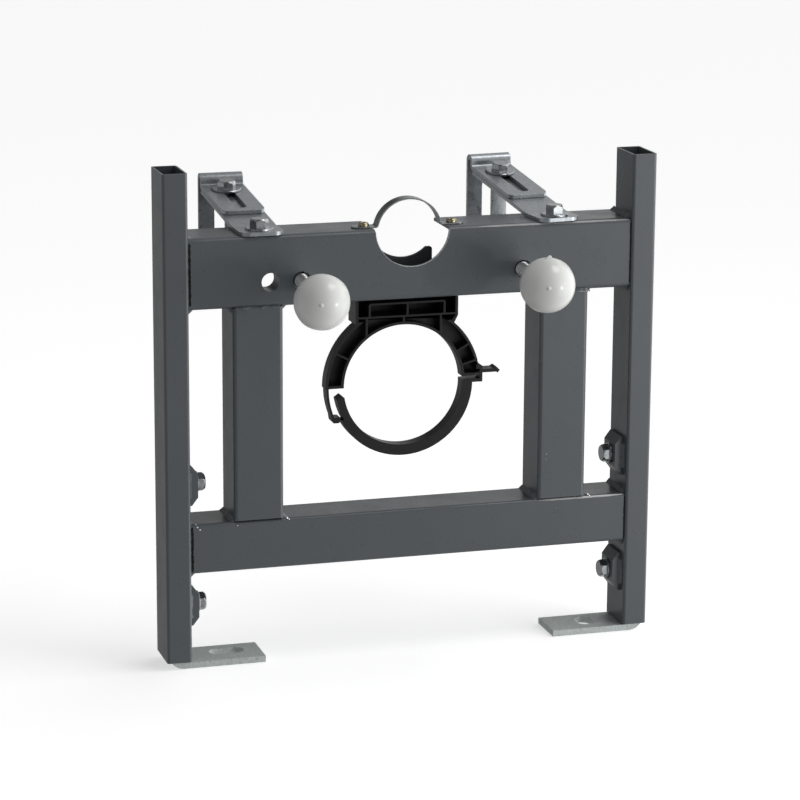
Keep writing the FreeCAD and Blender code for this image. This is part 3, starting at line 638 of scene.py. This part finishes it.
# Place and radius of each chip
CHIPS = ((148.3, 4.4, 117.4, 1.3), (149.8, 3.6, 116.4, 0.9),
         (-102.4, 3.6, 116.4, 1.2), (-101.0, 3.0, 115.7, 0.8),
         (-174.6, 2.6, 114.4, 0.9), (-173.0, 2.2, 112.4, 1.2),
         (-176.0, 3.4, 116.6, 0.8), (-142.8, 2.1, 113.6, 0.8),
         (146.6, 3.6, 285.4, 1.0), (112.0, 2.0, 154.0, 0.5),
         (111.4, 2.0, 149.6, 0.4))
CHIP_LUMPS = (0.75, 1.2)
CHIP_HEIGHT = 0.6
NOTCH_INNER = 30.0 - 0.06
NOTCH_OUTER = 30.0 + 0.25
NOTCH_START = math.radians(183.0)
NOTCH_SWEEP = math.radians(174.0)
NOTCH_STEPS = 60
NOTCH_SKIN_FRONT = BAR_FRONT - 0.04
NOTCH_SKIN_REAR = BAR_FRONT + 2.4
LOWER_BEND = 3.0
UPPER_BEND = 4.3
BAR_INNER_END = POST_SIDE - 1.5
# Painted highlights along the rounded top front edges of the crossbars, laid as light skins
HIGHLIGHT_STEP = 2.5
HIGHLIGHT_OUTSIDE = 0.05
HIGHLIGHT_INSIDE = 0.15
# How far, in degrees, a highlight line strays, and shares of its width: drawn, at its ends, per
# step
HIGHLIGHT_STRAY = 1.5
HIGHLIGHT_WIDTH = (0.85, 1.0)
HIGHLIGHT_END = 0.25
HIGHLIGHT_FADE = 0.15


def ragged_strip(shape, start, end, across, width, rng):
    """Thin inlay of painted shade with uneven borders from start to end, sunk into the face behind
    it.
    """
    start, end, across = Vector(start), Vector(end), Vector(across)
    sunk = Vector((0, INLAY_DEPTH, 0))
    count = int((end - start).length / INLAY_STEP)
    rings = []
    for i in range(count + 1):
        middle = start.lerp(end, i / count)
        reach = 0.5 * width * (INLAY_END if i in (0, count) else 1.0)
        low = middle - (reach * rng.uniform(*INLAY_LOW_BORDER)) * across
        high = middle + (reach * rng.uniform(*INLAY_HIGH_BORDER)) * across
        rings.append(add_ring(shape, (low, high, high + sunk, low + sunk)))
    skin(shape, rings)


def painted_gap_shade():
    """Painted shade: near black strips in the narrow gaps between the bars and posts, and below
    the uprights' fronts.
    """
    rng = random.Random(16)
    shape = bmesh.new()
    for side, (bottom, top), width, shift in ((-1, UPPER_GAP, 2.2, 0.3), (-1, LOWER_GAP, 2.4, 0.3),
                                              (1, UPPER_GAP, 1.3, 0.0), (1, LOWER_GAP, 1.3, 0.0)):
        x = side * (POST_SIDE - 0.4 * width) + shift
        ragged_strip(shape, (x, POST_GAP_Y, bottom), (x, POST_GAP_Y, top), (1, 0, 0), width, rng)
    for left, right, width in ((UPRIGHT_SIDES[0], UPRIGHT_SIDES[1], 1.0),
                               (UPRIGHT_SIDES[2], UPRIGHT_SIDES[3], 0.7)):
        ragged_strip(shape, (left + UPRIGHT_GAP_INSET, UPRIGHT_GAP_Y, UPRIGHT_GAP_Z),
                     (right - UPRIGHT_GAP_INSET, UPRIGHT_GAP_Y, UPRIGHT_GAP_Z),
                     (0, 0, 1), width, rng)
    finish_piece(shape, "painted_gap_shade", "frame", gap_shadow, smooth=False)


def bright_chips():
    """Small bare spots of weld and spatter where the paint has chipped."""
    rng = random.Random(18)
    shape = bmesh.new()
    for x, y, z, radius in CHIPS:
        made = bmesh.ops.create_icosphere(shape, subdivisions=2, radius=radius * MM)["verts"]
        for corner in made:
            corner.co *= rng.uniform(*CHIP_LUMPS)
            corner.co.z *= CHIP_HEIGHT
            corner.co += Vector((x, y, z)) * MM
    finish_piece(shape, "bright_chips", "frame", materials["bright_steel"])


def notch_edge_and_highlight():
    """Bare cut edge of the channel round the flush pipe notch, a lighter metal skin that also
    paints the highlight on this up-facing edge.
    """
    shape = bmesh.new()
    section = ((NOTCH_INNER, NOTCH_SKIN_FRONT), (NOTCH_INNER, NOTCH_SKIN_REAR),
               (NOTCH_OUTER, NOTCH_SKIN_REAR), (NOTCH_OUTER, NOTCH_SKIN_FRONT))
    rings = []
    for i in range(NOTCH_STEPS + 1):
        turn = NOTCH_START + NOTCH_SWEEP * i / NOTCH_STEPS
        rings.append(add_ring(shape, [
            Vector((FLUSH_X + radius * math.cos(turn), y, UPPER_TOP + radius * math.sin(turn)))
            for radius, y in section]))
    skin(shape, rings)
    finish_piece(shape, "notch_cut_edge_and_highlight", "frame", materials["galvanised_steel"],
                 smooth=False)


def edge_highlight_strip(name, left, right, top, bend, low, high, material, seed):
    """Painted highlight along the rounded top front edge of a crossbar: a light line laid as a
    thin skin. low and high are the angles round the bend that it lies between, measured from the
    front."""
    rng = random.Random(seed)
    shape = bmesh.new()
    y = BAR_FRONT + bend
    z = top - bend
    outside = bend + HIGHLIGHT_OUTSIDE
    inside = bend - HIGHLIGHT_INSIDE
    count = int((right - left) / HIGHLIGHT_STEP)
    rings = []
    for i in range(count + 1):
        x = left + (right - left) * i / count
        fade = min(1.0, HIGHLIGHT_END + HIGHLIGHT_FADE * min(i, count - i))
        middle = 0.5 * (low + high) + rng.uniform(-HIGHLIGHT_STRAY, HIGHLIGHT_STRAY)
        half = 0.5 * (high - low) * fade * rng.uniform(*HIGHLIGHT_WIDTH)
        points = []
        for radius, way in ((outside, -1), (outside, 0), (outside, 1), (inside, 1), (inside, -1)):
            turn = math.radians(middle + way * half)
            points.append(Vector((x, y - radius * math.cos(turn), z + radius * math.sin(turn))))
        rings.append(add_ring(shape, points))
    skin(shape, rings)
    finish_piece(shape, name, "frame", material, smooth=False)


# Web of the clip
LATCH_WEB = ((47.0, 237.0), (56.0, 233.0), (61.4, 229.5), (63.2, 225.9), (64.2, 221.0),
             (62.0, 217.2), (51.6, 217.6), (48.8, 224.3))
LATCH_WEB_FRONT = 31.1
LATCH_WEB_REAR = 32.6


def clip_latch_web():
    """Thin web behind the latch that closes the end of the clip's upper half."""
    shape = rounded_plate(LATCH_WEB, LATCH_WEB_FRONT, LATCH_WEB_REAR, rounding=0.4)
    finish_piece(shape, "clip_latch_web", "frame", materials["black_plastic"],
                 smooth=False)


bar_end_welds()
upright_welds()
lug_welds()
sleeve_welds()
saddle_welds()
painted_gap_shade()
upright_top_beads()
highlit_weld_bead()
bright_chips()
notch_edge_and_highlight()
# Painted highlights along the bent top front edges of the crossbars
edge_highlight_strip("lower_crossbar_edge_highlight", UPRIGHT_SIDES[2] + 1.0, BAR_INNER_END, LOWER_TOP, LOWER_BEND,
          low=22.0, high=58.0, material=bright_edge_highlight, seed=21)
edge_highlight_strip("upper_crossbar_edge_highlight", 52.0, BAR_INNER_END, UPPER_TOP, UPPER_BEND,
          low=32.0, high=58.0, material=pale_edge_highlight, seed=22)
edge_highlight_strip("upper_crossbar_left_edge_highlight", -BAR_INNER_END, -34.0, UPPER_TOP, UPPER_BEND,
          low=30.0, high=50.0, material=dim_edge_highlight, seed=23)
clip_latch_web()


# Caps and studs
BALL_RADIUS = 21.5
LEFT_BALL = (-STUD_X, -55.8, 300.8)
RIGHT_BALL = (STUD_X, -56.0, 304.45)
LEFT_DROOP = math.radians(4.5)
RIGHT_DROOP = math.radians(1.4)
NUB_AZIMUTH = math.radians(-16.0)
NUB_ELEVATION = math.radians(4.6)
# Radius and height from the ball's surface
NUB_PROFILE = ((0, -0.5), (1.75, -0.45), (1.65, 0.1), (1.35, 0.4), (0.9, 0.65), (0.4, 0.75),
               (0, 0.72))
PARTING_PLACE = 1.5
# Added to the ball's radius, and height
PARTING_PROFILE = ((-0.3, -0.3), (0.02, -0.28), (0.2, -0.08), (0.2, 0.08), (0.02, 0.28),
                   (-0.3, 0.3))
TAB = ((86.2, 324.9), (87.4, 326.1), (88.9, 327.5), (90.4, 328.3), (91.5, 328.1),
       (92.2, 326.9), (92.6, 324.9))
TAB_FRONT = -59.4
TAB_REAR = -57.6
STUD_PIVOT_Y = 11.5
THREAD_START = -43.0
THREAD_LENGTH = 67.5
THREAD_ROOT = 6.02
THREAD_CREST = 6.35
THREAD_PITCH = 1.75
THREAD_SINK = 0.15
THREAD_SEGMENTS = 28


def cap_gate_nub(side, centre):
    """Nub that moulding leaves on the front of a ball cap."""
    shape = bmesh.new()
    out = Vector((math.sin(NUB_AZIMUTH) * math.cos(NUB_ELEVATION),
                  -math.cos(NUB_AZIMUTH) * math.cos(NUB_ELEVATION),
                  math.sin(NUB_ELEVATION)))
    lathe(shape, NUB_PROFILE, Vector(centre) + BALL_RADIUS * out, out, segments=24)
    finish_piece(shape, side + "_cap_gate_nub", "frame", materials["white_cap"])


def cap_parting_line(side, centre, droop):
    """Low ridge round a ball cap where the halves of its mould met."""
    shape = bmesh.new()
    axis = Vector((0, -math.cos(droop), -math.sin(droop)))
    ring = math.sqrt(BALL_RADIUS ** 2 - PARTING_PLACE ** 2)
    profile = [(ring + added, height) for added, height in PARTING_PROFILE]
    lathe(shape, profile, Vector(centre) + PARTING_PLACE * axis, axis, segments=96, closed=True)
    finish_piece(shape, side + "_cap_parting_line", "frame", materials["white_cap"])


def right_cap_tab():
    """Small moulded tab on top of the right cap."""
    shape = rounded_plate(TAB, TAB_FRONT, TAB_REAR, rounding=0.35)
    finish_piece(shape, "right_cap_tab", "frame", materials["white_cap"], smooth=False)


def thread(shape, origin, axis):
    """Rolled thread as one winding ridge round a rod."""
    side = axis.orthogonal().normalized()
    other = axis.cross(side)
    count = int(THREAD_LENGTH / THREAD_PITCH) * THREAD_SEGMENTS
    rings = []
    for i in range(count + 1):
        turn = 2 * math.pi * i / THREAD_SEGMENTS
        fade = min(1.0, i / THREAD_SEGMENTS, (count - i) / THREAD_SEGMENTS)
        top = THREAD_ROOT + (THREAD_CREST - THREAD_ROOT) * fade
        out = math.cos(turn) * side + math.sin(turn) * other
        base = origin + axis * (THREAD_PITCH * i / THREAD_SEGMENTS)
        rings.append(add_ring(shape, [
            base + radius * out + along * THREAD_PITCH * axis
            for radius, along in ((THREAD_ROOT - THREAD_SINK, 0.0), (THREAD_ROOT, 0.08),
                                  (top, 0.42), (top, 0.58), (THREAD_ROOT, 0.92),
                                  (THREAD_ROOT - THREAD_SINK, 1.0))]))
    skin(shape, rings)


def stud_thread(side, x, droop):
    """Thread of a stud, which droops a little from the middle of its sleeve."""
    shape = bmesh.new()
    axis = Vector((0, math.cos(droop), math.sin(droop))).normalized()
    thread(shape, Vector((x, STUD_PIVOT_Y, HOLE_Z)) + THREAD_START * axis, axis)
    finish_piece(shape, side + "_stud_thread", "frame", materials["bright_steel"])


for side, centre, droop in (("left", LEFT_BALL, LEFT_DROOP), ("right", RIGHT_BALL, RIGHT_DROOP)):
    cap_gate_nub(side, centre)
    cap_parting_line(side, centre, droop)
right_cap_tab()
stud_thread("left", -STUD_X, LEFT_DROOP)
stud_thread("right", STUD_X, RIGHT_DROOP)


# Floor and light
FLOOR_HALF = 30.0
FLOOR_DROP = 0.0005
FLOOR_GREY = 0.9
FLOOR_ROUGHNESS = 0.9
FLOOR_GLOW = 0.50
# Light from each end of the sky's axes: the axis, where it reaches full strength, and how strong
WORLD_SIDES = (("Y", 1.0, 0.05), ("X", 1.0, 1.60), ("X", -1.0, 0.39), ("Z", -0.02, 0.15),
               ("Z", 1.0, 0.08))


def make_floor():
    """Plain pale floor. It shows the object's shadow, and sends no light back to it."""
    mesh = bpy.data.meshes.new("floor")
    mesh.from_pydata([(-FLOOR_HALF, -FLOOR_HALF, 0), (FLOOR_HALF, -FLOOR_HALF, 0),
                      (FLOOR_HALF, FLOOR_HALF, 0), (-FLOOR_HALF, FLOOR_HALF, 0)],
                     [], [(0, 1, 2, 3)])
    floor = bpy.data.objects.new("floor", mesh)
    scene.collection.objects.link(floor)
    floor.location.z = -FLOOR_DROP
    material, tree, shader = new_material("floor")
    shader.inputs["Base Color"].default_value = (FLOOR_GREY, FLOOR_GREY, FLOOR_GREY, 1.0)
    shader.inputs["Roughness"].default_value = FLOOR_ROUGHNESS
    shader.inputs["Emission Color"].default_value = (1.0, 1.0, 1.0, 1.0)
    shader.inputs["Emission Strength"].default_value = FLOOR_GLOW
    floor.data.materials.append(material)
    floor.visible_diffuse = False
    floor.visible_glossy = False
    floor.visible_shadow = False


def area_light(name, place, target, size, power):
    """Rectangular lamp at a place, turned to a target."""
    data = bpy.data.lights.new(name, "AREA")
    data.shape = "RECTANGLE"
    data.size, data.size_y = size
    data.energy = power
    lamp = bpy.data.objects.new(name, data)
    scene.collection.objects.link(lamp)
    lamp.location = place
    aim = Vector(target) - Vector(place)
    lamp.rotation_euler = aim.to_track_quat("-Z", "Y").to_euler()


def make_world():
    """Soft studio surroundings: bright on the right, dim on the left, behind and below."""
    world = bpy.data.worlds.new("studio")
    world.use_nodes = True
    tree = world.node_tree
    back = tree.nodes["Background"]
    where = tree.nodes.new("ShaderNodeTexCoord").outputs["Generated"]
    split = tree.nodes.new("ShaderNodeSeparateXYZ")
    link(tree, where, split.inputs["Vector"])
    total = None
    for axis, end, level in WORLD_SIDES:
        side = tree.nodes.new("ShaderNodeMapRange")
        side.inputs["From Min"].default_value = 0.0
        side.inputs["From Max"].default_value = end
        side.inputs["To Min"].default_value = 0.0
        side.inputs["To Max"].default_value = level
        link(tree, split.outputs[axis], side.inputs["Value"])
        if total is None:
            total = side.outputs["Result"]
            continue
        add = tree.nodes.new("ShaderNodeMath")
        add.operation = "ADD"
        link(tree, total, add.inputs[0])
        link(tree, side.outputs["Result"], add.inputs[1])
        total = add.outputs["Value"]
    link(tree, total, back.inputs["Color"])
    scene.world = world


make_floor()
make_world()
area_light("near", place=(0.80, -0.66, 0.14), target=(0.1, 0, 0.20), size=(0.74, 0.80), power=1.85)
area_light("top", place=(0.60, -0.26, 1.5), target=(0, 0, 0.2), size=(0.70, 0.50), power=4.4)
area_light("spot", place=(1.10, -1.18, 0.20), target=(0, 0, 0.28), size=(0.12, 0.14), power=2.6)
